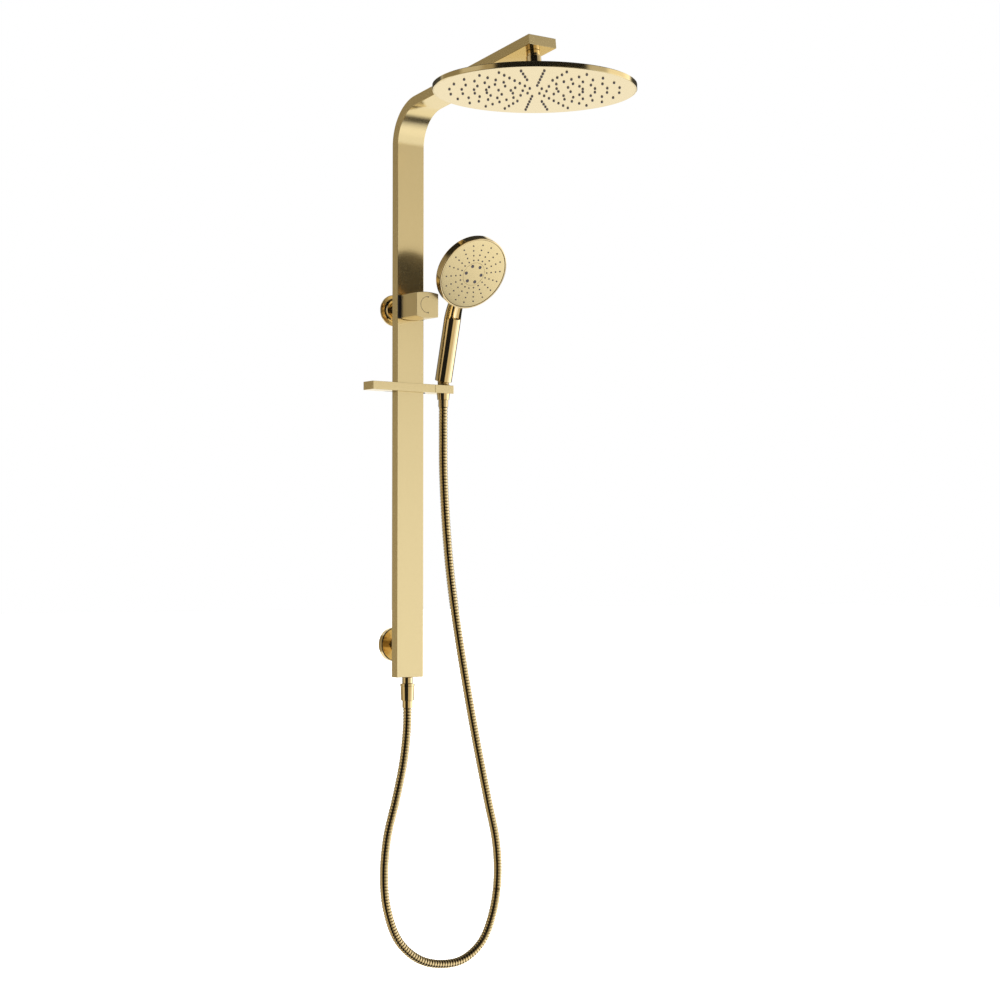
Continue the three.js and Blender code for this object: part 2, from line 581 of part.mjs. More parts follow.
/** A ball below, a round body, a groove and a collar that meets the arm; its nipple goes inside the arm. */
function ballStem() {
  const above = (radius, height) => [radius, BALL_CENTRE + height];
  return leaning(turned([
    ...ballArc(BALL_RADIUS, -9, 7), above(5.6, 8.5), above(5.6, 12), above(11.3, 13.5), above(11.3, 24.2),
    above(9.6, 24.4), above(9.6, 25.4), above(10.3, 25.6), above(10.3, STEM_LENGTH), above(6.8, STEM_LENGTH),
    above(6.8, STEM_LENGTH + 10), above(3, STEM_LENGTH + 10), above(3, -9),
  ], 'z', HEAD_AT, 20));
}

function ballRetainingNut() {
  return turned([
    [16.1, 297], [19, 297], [19, 314], [16, 318], ...ballArc(11.7, 6, -3, 4), [16.1, 309],
  ], 'z', HEAD_AT, 20);
}

const ballSeatRing = () => turned([...ballArc(11.4, -8, 4, 4), ...ballArc(9.8, 4, -8, 6)], 'z', HEAD_AT, 20);

function headTopShell() {
  const top = HEAD_FACE + HEAD_RIM;
  return turned([
    [12, top - 1.4], [12, 303.5], [12, 307], [15.8, 307], [15.8, 296.4], [26, 296], [34, top + 0.6],
    [40, top], [HEAD_RADIUS - 1, top], [HEAD_RADIUS, top - 0.8], [HEAD_RADIUS, HEAD_FACE + 0.5],
    [HEAD_RADIUS - 0.6, HEAD_FACE], [HEAD_RADIUS - 2, HEAD_FACE], [HEAD_RADIUS - 2, top - 1.4],
  ], 'z', HEAD_AT, 56);
}

function headPieces() {
  piece('ball_stem', ballStem(), POLISHED);
  piece('ball_seat_ring', ballSeatRing(), PLASTIC);
  piece('ball_retaining_nut', ballRetainingNut(), POLISHED);
  piece('head_top_shell', headTopShell(), BRUSHED);
  const disc = (radius, low, high) => rod(radius, low, high, 'z', HEAD_AT, 56);
  piece('head_face_plate', disc(HEAD_RADIUS - 2.3, HEAD_FACE, HEAD_FACE + 1.2), BRUSHED);
  piece('head_nozzle_mat', disc(HEAD_RADIUS - 8, HEAD_FACE + 1.5, HEAD_FACE + 3.5), NOZZLE);
  const gasket = disc(HEAD_RADIUS - 2.3, HEAD_FACE + 1.5, HEAD_FACE + 4)
    .subtract(disc(HEAD_RADIUS - 7.7, HEAD_FACE + 1, HEAD_FACE + 5));
  piece('head_gasket', gasket, RUBBER);
}

columnPieces();
wallPieces();
diverterPieces();
sliderPieces();
hosePieces();
hoseEndPieces();
handsetPieces();
headPieces();

export default product;
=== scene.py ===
"""Visual model of the rainfall shower column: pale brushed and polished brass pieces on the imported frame.

Lengths are written in millimetres and turned into metres by the helpers that make the meshes.
"""

import json
import math

import bpy
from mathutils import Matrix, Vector


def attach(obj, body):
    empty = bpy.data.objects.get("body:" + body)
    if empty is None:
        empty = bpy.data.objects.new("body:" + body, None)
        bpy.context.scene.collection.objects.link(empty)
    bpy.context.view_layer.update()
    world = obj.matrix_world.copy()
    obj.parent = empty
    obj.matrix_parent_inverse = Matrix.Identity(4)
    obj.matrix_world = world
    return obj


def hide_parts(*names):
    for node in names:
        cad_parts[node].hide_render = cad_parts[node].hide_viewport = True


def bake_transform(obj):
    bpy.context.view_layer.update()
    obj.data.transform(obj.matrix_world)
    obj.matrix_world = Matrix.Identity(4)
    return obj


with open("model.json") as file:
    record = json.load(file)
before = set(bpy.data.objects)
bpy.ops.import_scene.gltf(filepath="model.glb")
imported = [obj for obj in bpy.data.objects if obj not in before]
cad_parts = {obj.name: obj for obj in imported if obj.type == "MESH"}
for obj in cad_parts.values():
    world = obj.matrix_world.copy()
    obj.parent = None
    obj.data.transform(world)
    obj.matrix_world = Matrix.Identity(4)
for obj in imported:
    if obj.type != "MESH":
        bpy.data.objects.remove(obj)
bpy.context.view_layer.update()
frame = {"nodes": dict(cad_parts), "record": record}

MM = 0.001
GAP = 0.3  # running gap between neighbouring pieces
CAMERA_HEADING = math.radians(36.311)  # from the wall's normal; the studio light is set out around it too

# ---------- dimensions shared with the frame ----------
COLUMN_WIDTH = 50.0
COLUMN_DEPTH = 15.0
COLUMN_REAR = -35.0
COLUMN_BOTTOM = -583.7
BEND_START = 257.0
BEND_RADIUS = 70.0
ARM_RISE = math.radians(7)
ARM_LENGTH = 298.5
OUTLET = (0.0, -42.5, 0.0)
HEAD_AT = (0.0, -374.5, 0.0)
HEAD_FACE = 285.8
HEAD_RADIUS = 150.0
BALL_CENTRE = 312.0
STEM_LENGTH = 32.9
LOWER_BRACKET = (0.0, 0.0, -533.0)
FLANGE_RADIUS = 25.0
KNOB = {"front": -97.3, "rear": -53.3, "half": 20.7, "side": 18.4, "crown": 2.0}
BAR = {"front": -59.6, "rear": -32.0, "low": -133.3, "high": -120.3, "half": 77.0, "seam": 41.0}
HOSE_TOP = (65.0, -47.0, 0.0)
HANDLE_FOOT = Vector((65.0, -47.0, -113.0))
HANDLE_LEAN = math.radians(14.8)
HANDLE_UP = Vector((0, -math.sin(HANDLE_LEAN), math.cos(HANDLE_LEAN)))
FACE_TILT = math.radians(31.7)
FACE_CENTRE = Vector((65.0, -130.0, 50.0))
FACE_OUT = Vector((0, -math.cos(FACE_TILT), -math.sin(FACE_TILT)))
FACE_UP = Vector((0, -math.sin(FACE_TILT), math.cos(FACE_TILT)))
HANDSET_RADIUS = 60.5
RIM_DEPTH = 12.3
BACK_DEPTH = 24.0
PLATE_RADIUS = 57.4
HANDLE_RADIUS = 13.5
GROOVE_START = 102.0


# ---------- camera ----------
def make_camera():
    pitch = math.radians(1.957)
    level_view = Vector((math.sin(CAMERA_HEADING), math.cos(CAMERA_HEADING), 0))
    view = level_view * math.cos(pitch) + Vector((0, 0, math.sin(pitch)))
    data = bpy.data.cameras.new("camera")
    data.lens = 76.07
    data.sensor_width = 36.0
    data.clip_end = 60.0
    camera = bpy.data.objects.new("camera", data)
    camera.location = (-1.8596, -2.8194, -0.4184)
    camera.rotation_euler = view.to_track_quat("-Z", "Y").to_euler()
    bpy.context.scene.collection.objects.link(camera)
    bpy.context.scene.camera = camera


# ---------- materials ----------
def new_material(name, base, metallic, roughness, **sockets):
    material = bpy.data.materials.new(name)
    material.use_nodes = True
    shader = material.node_tree.nodes["Principled BSDF"]
    shader.inputs["Base Color"].default_value = (*base, 1)
    shader.inputs["Metallic"].default_value = metallic
    shader.inputs["Roughness"].default_value = roughness
    for socket, value in sockets.items():
        shader.inputs[socket.replace("_", " ")].default_value = value
    return material, material.node_tree, shader


def noise(tree, scale, detail=3.0, stretch=(1, 1, 1)):
    """Noise in the frame's own coordinates, stretched along the axes given. Scale is in cells a metre."""
    place = tree.nodes.new("ShaderNodeTexCoord")
    mapping = tree.nodes.new("ShaderNodeMapping")
    mapping.inputs["Scale"].default_value = stretch
    texture = tree.nodes.new("ShaderNodeTexNoise")
    texture.inputs["Scale"].default_value = scale
    texture.inputs["Detail"].default_value = detail
    tree.links.new(place.outputs["Object"], mapping.inputs["Vector"])
    tree.links.new(mapping.outputs["Vector"], texture.inputs["Vector"])
    return texture.outputs["Fac"]


def ranged(tree, value, low, high):
    """A 0 to 1 value brought into the range given."""
    node = tree.nodes.new("ShaderNodeMapRange")
    node.inputs["From Min"].default_value = 0.3
    node.inputs["From Max"].default_value = 0.7
    node.inputs["To Min"].default_value = low
    node.inputs["To Max"].default_value = high
    tree.links.new(value, node.inputs["Value"])
    return node.outputs["Result"]


def tinted(tree, value, dark, light):
    node = tree.nodes.new("ShaderNodeMix")
    node.data_type = "RGBA"
    node.inputs["A"].default_value = (*dark, 1)
    node.inputs["B"].default_value = (*light, 1)
    tree.links.new(ranged(tree, value, 0, 1), node.inputs["Factor"])
    return node.outputs["Result"]


def bumped(tree, shader, value, strength, distance):
    bump = tree.nodes.new("ShaderNodeBump")
    bump.inputs["Strength"].default_value = strength
    bump.inputs["Distance"].default_value = distance
    tree.links.new(value, bump.inputs["Height"])
    tree.links.new(bump.outputs["Normal"], shader.inputs["Normal"])


def darker(colour, share):
    return tuple(share * part for part in colour)


def brushed_brass(name, stretch, roughness=(0.15, 0.19), metallic=0.975):
    """Satin brass with a fine, even grain, drawn out along the axis with the smallest stretch."""
    dark, light = (0.785, 0.64, 0.345), (0.805, 0.657, 0.357)
    material, tree, shader = new_material(name, light, metallic, 0.3)
    grain = noise(tree, 1500, 3.0, stretch)
    tree.links.new(tinted(tree, grain, dark, light), shader.inputs["Base Color"])
    tree.links.new(ranged(tree, noise(tree, 500, 3.0, stretch), *roughness), shader.inputs["Roughness"])
    bumped(tree, shader, grain, 0.02, 0.00002)
    return material


def polished_brass(name, light=(0.84, 0.67, 0.38)):
    """Bright brass with the faint waviness that buffing leaves."""
    dark = darker(light, 0.94)
    material, tree, shader = new_material(name, light, 1.0, 0.08)
    cloud = noise(tree, 60, 2.0)
    tree.links.new(tinted(tree, cloud, dark, light), shader.inputs["Base Color"])
    tree.links.new(ranged(tree, noise(tree, 240, 2.0), 0.05, 0.11), shader.inputs["Roughness"])
    bumped(tree, shader, cloud, 0.08, 0.0002)
    return material


def turned_metal(name, base, roughness):
    material, tree, shader = new_material(name, base, 1.0, roughness)
    grain = noise(tree, 1400, 3.0)
    tree.links.new(ranged(tree, grain, roughness * 0.8, roughness * 1.25), shader.inputs["Roughness"])
    tree.links.new(tinted(tree, grain, darker(base, 0.85), base), shader.inputs["Base Color"])
    bumped(tree, shader, grain, 0.2, 0.00003)
    return material


def moulded(name, base, roughness, grain_scale=2400.0):
    material, tree, shader = new_material(name, base, 0.0, roughness)
    grain = noise(tree, grain_scale, 2.0)
    tree.links.new(tinted(tree, grain, darker(base, 0.88), base), shader.inputs["Base Color"])
    gloss = ranged(tree, grain, roughness * 0.9, min(1.0, roughness * 1.1))
    tree.links.new(gloss, shader.inputs["Roughness"])
    bumped(tree, shader, grain, 0.15, 0.00005)
    return material


def make_materials():
    return {
        "column": brushed_brass("brass_brushed_upright", (1.0, 1.0, 0.4)),
        "disc": brushed_brass("brass_brushed_disc", (0.5, 1.0, 1.0), (0.13, 0.17)),
        "shell": brushed_brass("brass_brushed_rim", (0.5, 1.0, 1.0), (0.10, 0.15), 1.0),
        "face": brushed_brass("brass_brushed_face", (0.5, 1.0, 1.0), (0.17, 0.21)),
        "bar": brushed_brass("brass_brushed_bar", (0.4, 1.0, 1.0)),
        "knob": brushed_brass("brass_brushed_knob", (0.4, 1.0, 1.0), (0.28, 0.34)),
        "polished": polished_brass("brass_polished"),
        "hose": polished_brass("brass_hose", (0.80, 0.64, 0.36)),
        "raw": turned_metal("brass_machined", (0.60, 0.44, 0.20), 0.4),
        # painted_gap_shade is painted shade: a near-black finish for the plate that fills the shadow gap
        # behind the knob
        "dark": moulded("painted_gap_shade", (0.004, 0.004, 0.004), 0.4, 300.0),
        "steel": turned_metal("steel_machined", (0.62, 0.63, 0.64), 0.3),
        "rubber": moulded("rubber_black", (0.02, 0.02, 0.02), 0.7),
        "plastic": moulded("plastic_natural", (0.72, 0.72, 0.68), 0.45),
        "nozzle": moulded("rubber_nozzle", (0.055, 0.048, 0.055), 0.35),
        "mark": moulded("mark_dark", (0.10, 0.075, 0.04), 0.5),
    }


# ---------- mesh helpers ----------
def finish_mesh(name, points, faces, material, sharp=35.0):
    """A named mesh object in metres from points in millimetres, smooth but for its sharp edges."""
    mesh = bpy.data.meshes.new(name)
    mesh.from_pydata([Vector(point) * MM for point in points], [], faces)
    mesh.validate()
    mesh.update()
    mesh.shade_smooth()
    mesh.set_sharp_from_angle(angle=math.radians(sharp))
    mesh.materials.append(material)
    piece = bpy.data.objects.new(name, mesh)
    bpy.context.scene.collection.objects.link(piece)
    weighted = piece.modifiers.new("weighted_normals", "WEIGHTED_NORMAL")
    weighted.keep_sharp = True
    return piece


def place(piece, body, *nodes):
    """Rides the piece on its body, and lets it stand for the CAD nodes named."""
    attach(piece, body)
    if nodes:
        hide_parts(*nodes)
    return piece


def corner_arc(before, corner, after, radius, steps):
    """Points of a fillet at a corner of a 2D outline."""
    before, corner, after = Vector(before), Vector(corner), Vector(after)
    back, ahead = before - corner, after - corner
    if back.length < 1e-9 or ahead.length < 1e-9:
        return [tuple(corner)]
    angle = back.angle(ahead)
    if angle > math.radians(172) or radius <= 0:
        return [tuple(corner)]
    reach = min(radius / math.tan(angle / 2), 0.45 * back.length, 0.45 * ahead.length)
    start, end = corner + back.normalized() * reach, corner + ahead.normalized() * reach
    points = []
    for i in range(steps + 1):
        t = i / steps
        points.append(tuple((1 - t) ** 2 * start + 2 * t * (1 - t) * corner + t ** 2 * end))
    return points


def softened(outline, radius, closed=True, steps=3):
    """The outline with a fillet at each corner; an open outline keeps its two ends."""
    points = []
    count = len(outline)
    for i, corner in enumerate(outline):
        if not closed and i in (0, count - 1):
            points.append(tuple(corner))
            continue
        size = radius[i] if isinstance(radius, (list, tuple)) else radius
        points += corner_arc(outline[i - 1], corner, outline[(i + 1) % count], size, steps)
    return points


def axis_frame(direction):
    """Two unit vectors at right angles to a direction, as a right-handed set with it."""
    direction = Vector(direction).normalized()
    side = Vector((1, 0, 0)) if abs(direction.x) < 0.9 else Vector((0, 1, 0))
    first = (side - direction * side.dot(direction)).normalized()
    return first, direction.cross(first), direction


def lathe_data(profile, at, direction, segments):
    """Points and faces of a profile of (radius, height) pairs turned about an axis through a point."""
    first, second, along = axis_frame(direction)
    at = Vector(at)
    points, rings = [], []
    for radius, height in profile:
        centre = at + along * height
        if radius < 1e-6:
            rings.append([len(points)])
            points.append(centre)
            continue
        rings.append(list(range(len(points), len(points) + segments)))
        for i in range(segments):
            turn = 2 * math.pi * i / segments
            points.append(centre + (first * math.cos(turn) + second * math.sin(turn)) * radius)
    faces = []
    loop = profile[0][0] > 1e-6 and profile[-1][0] > 1e-6
    pairs = list(zip(rings, rings[1:])) + ([(rings[-1], rings[0])] if loop else [])
    for low, high in pairs:
        faces += ring_faces(low, high)
    return points, faces


def ring_faces(low, high):
    """Faces between two rings of the same size, or between a ring and a point."""
    size = max(len(low), len(high))
    if size == 1:
        return []
    faces = []
    for i in range(size):
        j = (i + 1) % size
        if len(low) == 1:
            faces.append((low[0], high[j], high[i]))
        elif len(high) == 1:
            faces.append((low[i], low[j], high[0]))
        else:
            faces.append((low[i], low[j], high[j], high[i]))
    return faces


def lathe(name, profile, at, direction, material, fillet=0.3, segments=96):
    """A turned piece, with fillets at the corners of its profile."""
    closed = profile[0][0] > 1e-6
    points, faces = lathe_data(softened(profile, fillet, closed), at, direction, segments)
    return finish_mesh(name, points, outward(points, faces), material)


def outward(points, faces):
    """The same faces, turned over if they face inwards."""
    total = 0.0
    for face in faces:
        a = points[face[0]]
        for i in range(1, len(face) - 1):
            total += Vector(a).dot(Vector(points[face[i]]).cross(Vector(points[face[i + 1]])))
    return faces if total > 0 else [tuple(reversed(face)) for face in faces]


def rectangle(low_x, high_x, low_y, high_y):
    """A rectangular outline, anticlockwise."""
    return [(low_x, low_y), (high_x, low_y), (high_x, high_y), (low_x, high_y)]


def inset(outline, distance):
    """A closed 2D outline, running anticlockwise, moved inwards."""
    count = len(outline)
    moved = []
    for i in range(count):
        before, here, after = (Vector(outline[(i + k) % count]) for k in (-1, 0, 1))
        one, two = (here - before).normalized(), (after - here).normalized()
        normal = Vector((-(one.y + two.y), one.x + two.x))
        if normal.length < 1e-9:
            normal = Vector((-one.y, one.x))
        normal.normalize()
        share = max(0.4, normal.dot(Vector((-one.y, one.x))))
        moved.append(tuple(here + normal * distance / share))
    return moved


def prism_data(outline, low, high, edge, placed, steps=3):
    """Points and faces of an outline drawn in 2D and raised from low to high, with its edges rounded."""
    levels = []
    for i in range(steps + 1):
        turn = math.pi / 2 * i / steps
        levels.append((low + edge * (1 - math.sin(turn)), edge * (1 - math.cos(turn))))
    levels.reverse()
    levels += [(low + high - height, depth) for height, depth in reversed(levels)]
    points, rings = [], []
    for height, depth in levels:
        ring = inset(outline, depth) if depth > 0 else outline
        rings.append(list(range(len(points), len(points) + len(ring))))
        points += [placed(u, v, height) for u, v in ring]
    faces = [tuple(rings[0]), tuple(reversed(rings[-1]))]
    for one, two in zip(rings, rings[1:]):
        faces += [tuple(reversed(face)) for face in ring_faces(one, two)]
    return points, faces


def prism(name, outline, low, high, edge, placed, material):
    points, faces = prism_data(outline, low, high, edge, placed)
    return finish_mesh(name, points, outward(points, faces), material)


def upright(u, v, height):
    """A plan outline drawn in (x, y), raised along Z."""
    return Vector((u, v, height))


def facing(u, v, height):
    """An outline drawn in (x, z), raised along Y."""
    return Vector((u, height, v))


def tube_data(centres, radii, sides, caps=True):
    """Points and faces of a round tube of changing radius along a run of centres."""
    points, rings = [], []
    side = None
    for i, centre in enumerate(centres):
        ahead = (centres[min(i + 1, len(centres) - 1)] - centres[max(i - 1, 0)]).normalized()
        if side is None:
            side = axis_frame(ahead)[0]
        side = (side - ahead * side.dot(ahead)).normalized()
        other = ahead.cross(side)
        rings.append(list(range(len(points), len(points) + sides)))
        for k in range(sides):
            turn = 2 * math.pi * k / sides
            points.append(centre + (side * math.cos(turn) + other * math.sin(turn)) * radii[i])
    faces = []
    for one, two in zip(rings, rings[1:]):
        faces += ring_faces(one, two)
    if caps:
        faces += [tuple(reversed(rings[0])), tuple(rings[-1])]
    return points, faces


def joined(*parts):
    """Several sets of points and faces as one."""
    points, faces = [], []
    for more_points, more_faces in parts:
        base = len(points)
        points += more_points
        faces += [tuple(base + i for i in face) for face in outward(more_points, more_faces)]
    return points, faces


# ---------- hose ----------
HOSE_ROUTE = [
    (0, -632.5), (-1, -664), (-8, -718), (-22, -775), (-38, -832), (-44, -889), (-39, -942),
    (-17, -995), (22, -1028), (68, -1040), (108, -1036), (143, -1012), (164, -970), (174, -915), (171, -855),
    (154, -785), (131, -689), (111, -597), (92, -500), (78, -410), (69, -315), (65.5, -250), (65, -205),
    (65, -154.7),
]
HOSE_SPLITS = (0.0, 0.45, 0.86, 1.0)
HOSE_TOP_REACH = 19.5  # how far the hose runs on inside its upper ferrule
RIB_PITCH = 5.0


def spline(points, per_span=60):
    """A centripetal Catmull-Rom curve through the points, as a dense run of points."""
    ends = [points[0] * 2 - points[1]] + list(points) + [points[-1] * 2 - points[-2]]
    run = []
    for i in range(len(points) - 1):
        a, b, c, d = ends[i:i + 4]
        ta = max((b - a).length, 1e-9) ** 0.5
        tb = max((c - b).length, 1e-9) ** 0.5
        tc = max((d - c).length, 1e-9) ** 0.5
        out = ((b - a) / ta - (c - a) / (ta + tb) + (c - b) / tb) * tb
        into = ((c - b) / tb - (d - b) / (tb + tc) + (d - c) / tc) * tb
        for k in range(per_span):
            t = k / per_span
            run.append(
                b * (2 * t ** 3 - 3 * t ** 2 + 1) + out * (t ** 3 - 2 * t ** 2 + t)
                + c * (3 * t ** 2 - 2 * t ** 3) + into * (t ** 3 - t ** 2)
            )
    return run + [points[-1]]


def walker(run):
    """A function from a distance along a run of points to the place there."""
    marks = [0.0]
    for one, two in zip(run, run[1:]):
        marks.append(marks[-1] + (two - one).length)

    def at(distance):
        low, high = 0, len(marks) - 1
        while high - low > 1:
            middle = (low + high) // 2
            if marks[middle] <= distance:
                low = middle
            else:
                high = middle
        share = (distance - marks[low]) / max(marks[high] - marks[low], 1e-9)
        return run[low].lerp(run[high], share)

    return at, marks[-1]


def rib_stations(start, end):
    """Distances and radii along the hose: each pitch has a rounded crest and a narrow groove."""
    section = ((0.0, 6.15), (0.10, 6.2), (0.2, 6.8), (0.38, 7.0), (0.62, 7.0), (0.8, 6.8), (0.9, 6.2))
    stations = [(start, 6.15)]
    turn = math.ceil(start / RIB_PITCH) - 1
    while turn * RIB_PITCH < end:
        for share, radius in section:
            distance = (turn + share) * RIB_PITCH
            if start + 0.2 < distance < end - 0.2:
                stations.append((distance, radius))
        turn += 1
    return stations + [(end, 6.15)]


def make_hose(look):
    last = len(HOSE_ROUTE) - 1
    route = [Vector((x, -42.5 + (-47.0 + 42.5) * i / last, z)) for i, (x, z) in enumerate(HOSE_ROUTE)]
    at, total = walker(spline(route))
    top_end = route[-1]

    def centre(distance):
        return at(distance) if distance <= total else top_end + Vector((0, 0, distance - total))

    marks = [share * total for share in HOSE_SPLITS]
    marks[-1] += HOSE_TOP_REACH
    hoses = []
    for i, name in enumerate(("hose_lower", "hose_riser", "hose_top")):
        stations = rib_stations(marks[i], marks[i + 1])
        centres = [centre(distance) for distance, _ in stations]
        points, faces = tube_data(centres, [radius for _, radius in stations], 28)
        hose = finish_mesh(name, points, outward(points, faces), look, 60.0)
        path = [centre(marks[i] + (marks[i + 1] - marks[i]) * k / 40) * MM for k in range(41)]
        hoses.append((hose, path, (marks[i + 1] - marks[i]) * MM))
    return hoses


def hang_hose(hoses):
    lower, riser, top = (hose for hose, _, _ in hoses)
    place(lower, "column", "hose_tube_lower")
    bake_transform(riser)
    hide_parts("hose_tube_riser")
    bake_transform(top)
    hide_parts("hose_tube_top")
    ends = (
        ["hose_nut_bottom", "hose_ferrule_bottom", "hose_washer_bottom"],
        [],
        ["hose_ferrule_top", "hose_cone_nut", "hose_washer_top"],
    )
    return ends


# ---------- column and arm ----------
def arm_frames():
    """Middle of the column's section and how far it has turned, from the bottom to the arm's tip."""
    middle = BEND_RADIUS - COLUMN_DEPTH / 2
    centre = Vector((0, COLUMN_REAR - BEND_RADIUS, BEND_START))
    frames = [(Vector((0, OUTLET[1], COLUMN_BOTTOM)), 0.0)]
    steps = 48
    last = math.pi / 2 - ARM_RISE
    for i in range(steps + 1):
        angle = last * i / steps
        frames.append((centre + Vector((0, math.cos(angle), math.sin(angle))) * middle, angle))
    tip = frames[-1][0] + Vector((0, -math.sin(last), math.cos(last))) * ARM_LENGTH
    frames.append((tip, last))
    return frames


def column_piece(look):
    """The flat tube, bent once, with softly broken edges and a shallow recess at its foot."""
    half_x, half_d = COLUMN_WIDTH / 2, COLUMN_DEPTH / 2
    corner = 0.9
    section = softened(rectangle(-half_x, half_x, -half_d, half_d), corner, steps=4)
    lip, wall, recess = 0.5, 1.6, 14.0
    frames = arm_frames()
    foot, foot_angle = frames[0]
    tip, tip_angle = frames[-1]
    up = Vector((0, 0, 1))
    reach = Vector((0, -math.sin(tip_angle), math.cos(tip_angle)))
    foot_steps = ((recess, wall), (lip, wall), (0, wall - lip), (0, lip), (lip, 0.0))
    levels = [(foot + up * height, foot_angle, shrink) for height, shrink in foot_steps]
    levels += [(middle, angle, 0.0) for middle, angle in frames[1:-1]]
    tip_steps = ((lip, 0.0), (lip * 0.3, lip * 0.3), (0, lip))
    levels += [(tip - reach * back, tip_angle, shrink) for back, shrink in tip_steps]
    points, rings = [], []
    for where, angle, shrink in levels:
        outward_dir = Vector((0, math.cos(angle), math.sin(angle)))
        ring = inset(section, shrink) if shrink > 0 else section
        rings.append(list(range(len(points), len(points) + len(ring))))
        points += [where + Vector((u, 0, 0)) + outward_dir * v for u, v in ring]
    faces = [tuple(reversed(rings[0])), tuple(rings[-1])]
    for one, two in zip(rings, rings[1:]):
        faces += ring_faces(one, two)
    return place(finish_mesh("column", points, outward(points, faces), look, 30.0), "column", "column_rail")


# ---------- wall fixings and diverter ----------
def wall_pieces(looks):
    bright = looks["polished"]
    place(lathe("upper_flange", [
        (13.3, -9), (17, -9), (18, -5.4), (19.6, -4.1), (FLANGE_RADIUS - 0.6, -3.6), (FLANGE_RADIUS, -3.0),
        (FLANGE_RADIUS, 0), (FLANGE_RADIUS - 1.6, 0), (FLANGE_RADIUS - 1.6, -2.2), (13.3, -2.2),
    ], (0, 0, 0), (0, 1, 0), bright), "column", "upper_wall_flange")
    place(lathe("lower_flange", [
        (11.3, -10), (25.6, -10), (27, -8.8), (27, 0), (25.4, 0), (25.4, -8.4), (11.3, -8.4),
    ], LOWER_BRACKET, (0, 1, 0), bright, 0.5), "column", "lower_wall_flange")
    place(lathe("wall_post", [
        (0, -34.7), (11, -34.7), (11, -4), (23, -4), (23, 0), (0, 0),
    ], LOWER_BRACKET, (0, 1, 0), bright, 0.4), "column", "wall_bracket")
    place(lathe("diverter_body", [
        (10.3, -49.8), (13, -49.8), (13, -0.2), (6, -0.2), (6, -15.2), (10.3, -15.2),
    ], (0, 0, 0), (0, 1, 0), bright, 0.3), "column", "diverter_housing")
    place(lathe("outlet", [
        (3, -604.5), (7.4, -604.5), (7.4, -593.6), (8.5, -593.3), (8.5, -584), (4.5, -584), (4.5, -561),
        (3, -561),
    ], OUTLET, (0, 0, 1), bright), "column", "outlet_spigot")


def knob_outline(count=16):
    """The knob's face, anticlockwise in (x, z): flat sides with crowned top and bottom edges."""
    half_w, half_h, crown = KNOB["half"], KNOB["side"], KNOB["crown"]
    low = []
    for i in range(count + 1):
        t = i / count
        low.append((-half_w + 2 * half_w * t, -half_h - 4 * crown * t * (1 - t)))
    high = [(-u, -v) for u, v in low]
    return low + high


def diverter_pieces(looks):
    sizes = [1.2 if i in (0, 16, 17, 33) else 0.0 for i in range(34)]
    outline = softened(knob_outline(), sizes, steps=4)
    knob = prism("knob", outline, KNOB["front"], KNOB["rear"], 0.8, facing, looks["knob"])
    place(knob, "knob", "diverter_knob")
    half_x, half_z = COLUMN_WIDTH / 2, KNOB["side"]
    plate = softened(rectangle(-half_x, half_x, -half_z, half_z), 1.5, steps=4)
    # painted shade: a near-black plate set in the shadow gap between the knob and the column
    base = prism("base_plate", plate, KNOB["rear"] + GAP, -50.3, 0.4, facing, looks["dark"])
    place(base, "column", "diverter_base_plate")
    place(turn_mark(looks["mark"]), "knob")


def turn_mark(look):
    """A thin engraved arc with a stop at each end, on the knob's front."""
    radius, width, front = 12.5, 0.4, KNOB["front"]
    first, last, steps = 84, 276, 40

    def on_arc(degrees):
        angle = math.radians(degrees)
        return Vector((radius * math.cos(angle), front, radius * math.sin(angle)))

    centres = [on_arc(first + (last - first) * i / steps) for i in range(steps + 1)]
    parts = [tube_data(centres, [width] * len(centres), 8)]
    stop = softened([(0, -0.4), (1.2, -0.4), (1.2, 0.4), (0, 0.4)], 0.1, False)
    parts += [lathe_data(stop, on_arc(degrees), (0, 1, 0), 16) for degrees in (first, last)]
    points, faces = joined(*parts)
    return finish_mesh("knob_mark", points, faces, look)


# ---------- slider ----------
def slider_pieces(looks):
    seam, half = BAR["seam"], BAR["half"]
    front, rear = BAR["front"], BAR["rear"]
    plan = [
        (-half, front), (seam - 0.1, front), (seam - 0.1, rear), (38.3, rear), (38.3, -34.8), (26.2, -34.8),
        (26.2, -50.7), (-26.2, -50.7), (-26.2, -34.8), (-38.3, -34.8), (-38.3, rear), (-half, rear),
    ]
    sizes = [1.2, 0.4, 0.4, 0.4, 0.4, 0.4, 1.0, 1.0, 0.4, 0.4, 0.4, 1.2]
    outline = softened(plan, sizes)
    bar = prism("slider_bar_piece", outline, BAR["low"], BAR["high"], 0.35, upright, looks["bar"])
    place(bar, "slider", "slider_bar")
    place(holder_piece(looks["bar"]), "holder", "handset_holder")
    plate = softened(rectangle(-38, 38, -34.5, -32.2), 0.5)
    back = prism("slider_plate", plate, BAR["low"] + 0.1, BAR["high"] - 0.1, 0.3, upright, looks["raw"])
    place(back, "slider", "slider_back_plate")
    middle = (BAR["low"] + BAR["high"]) / 2
    for side, x in (("left", -33.0), ("right", 33.0)):
        screw = lathe("screw_" + side, [
            (0, -41), (1.5, -41), (1.5, -33.4), (3.0, -33.4), (3.0, -32.0), (2.4, -31.6), (1.1, -31.6),
            (1.1, -32.6), (0, -32.6),
        ], (x, 0, middle), (0, 1, 0), looks["steel"], 0.15, 32)
        place(screw, "slider", "plate_screw_" + side)


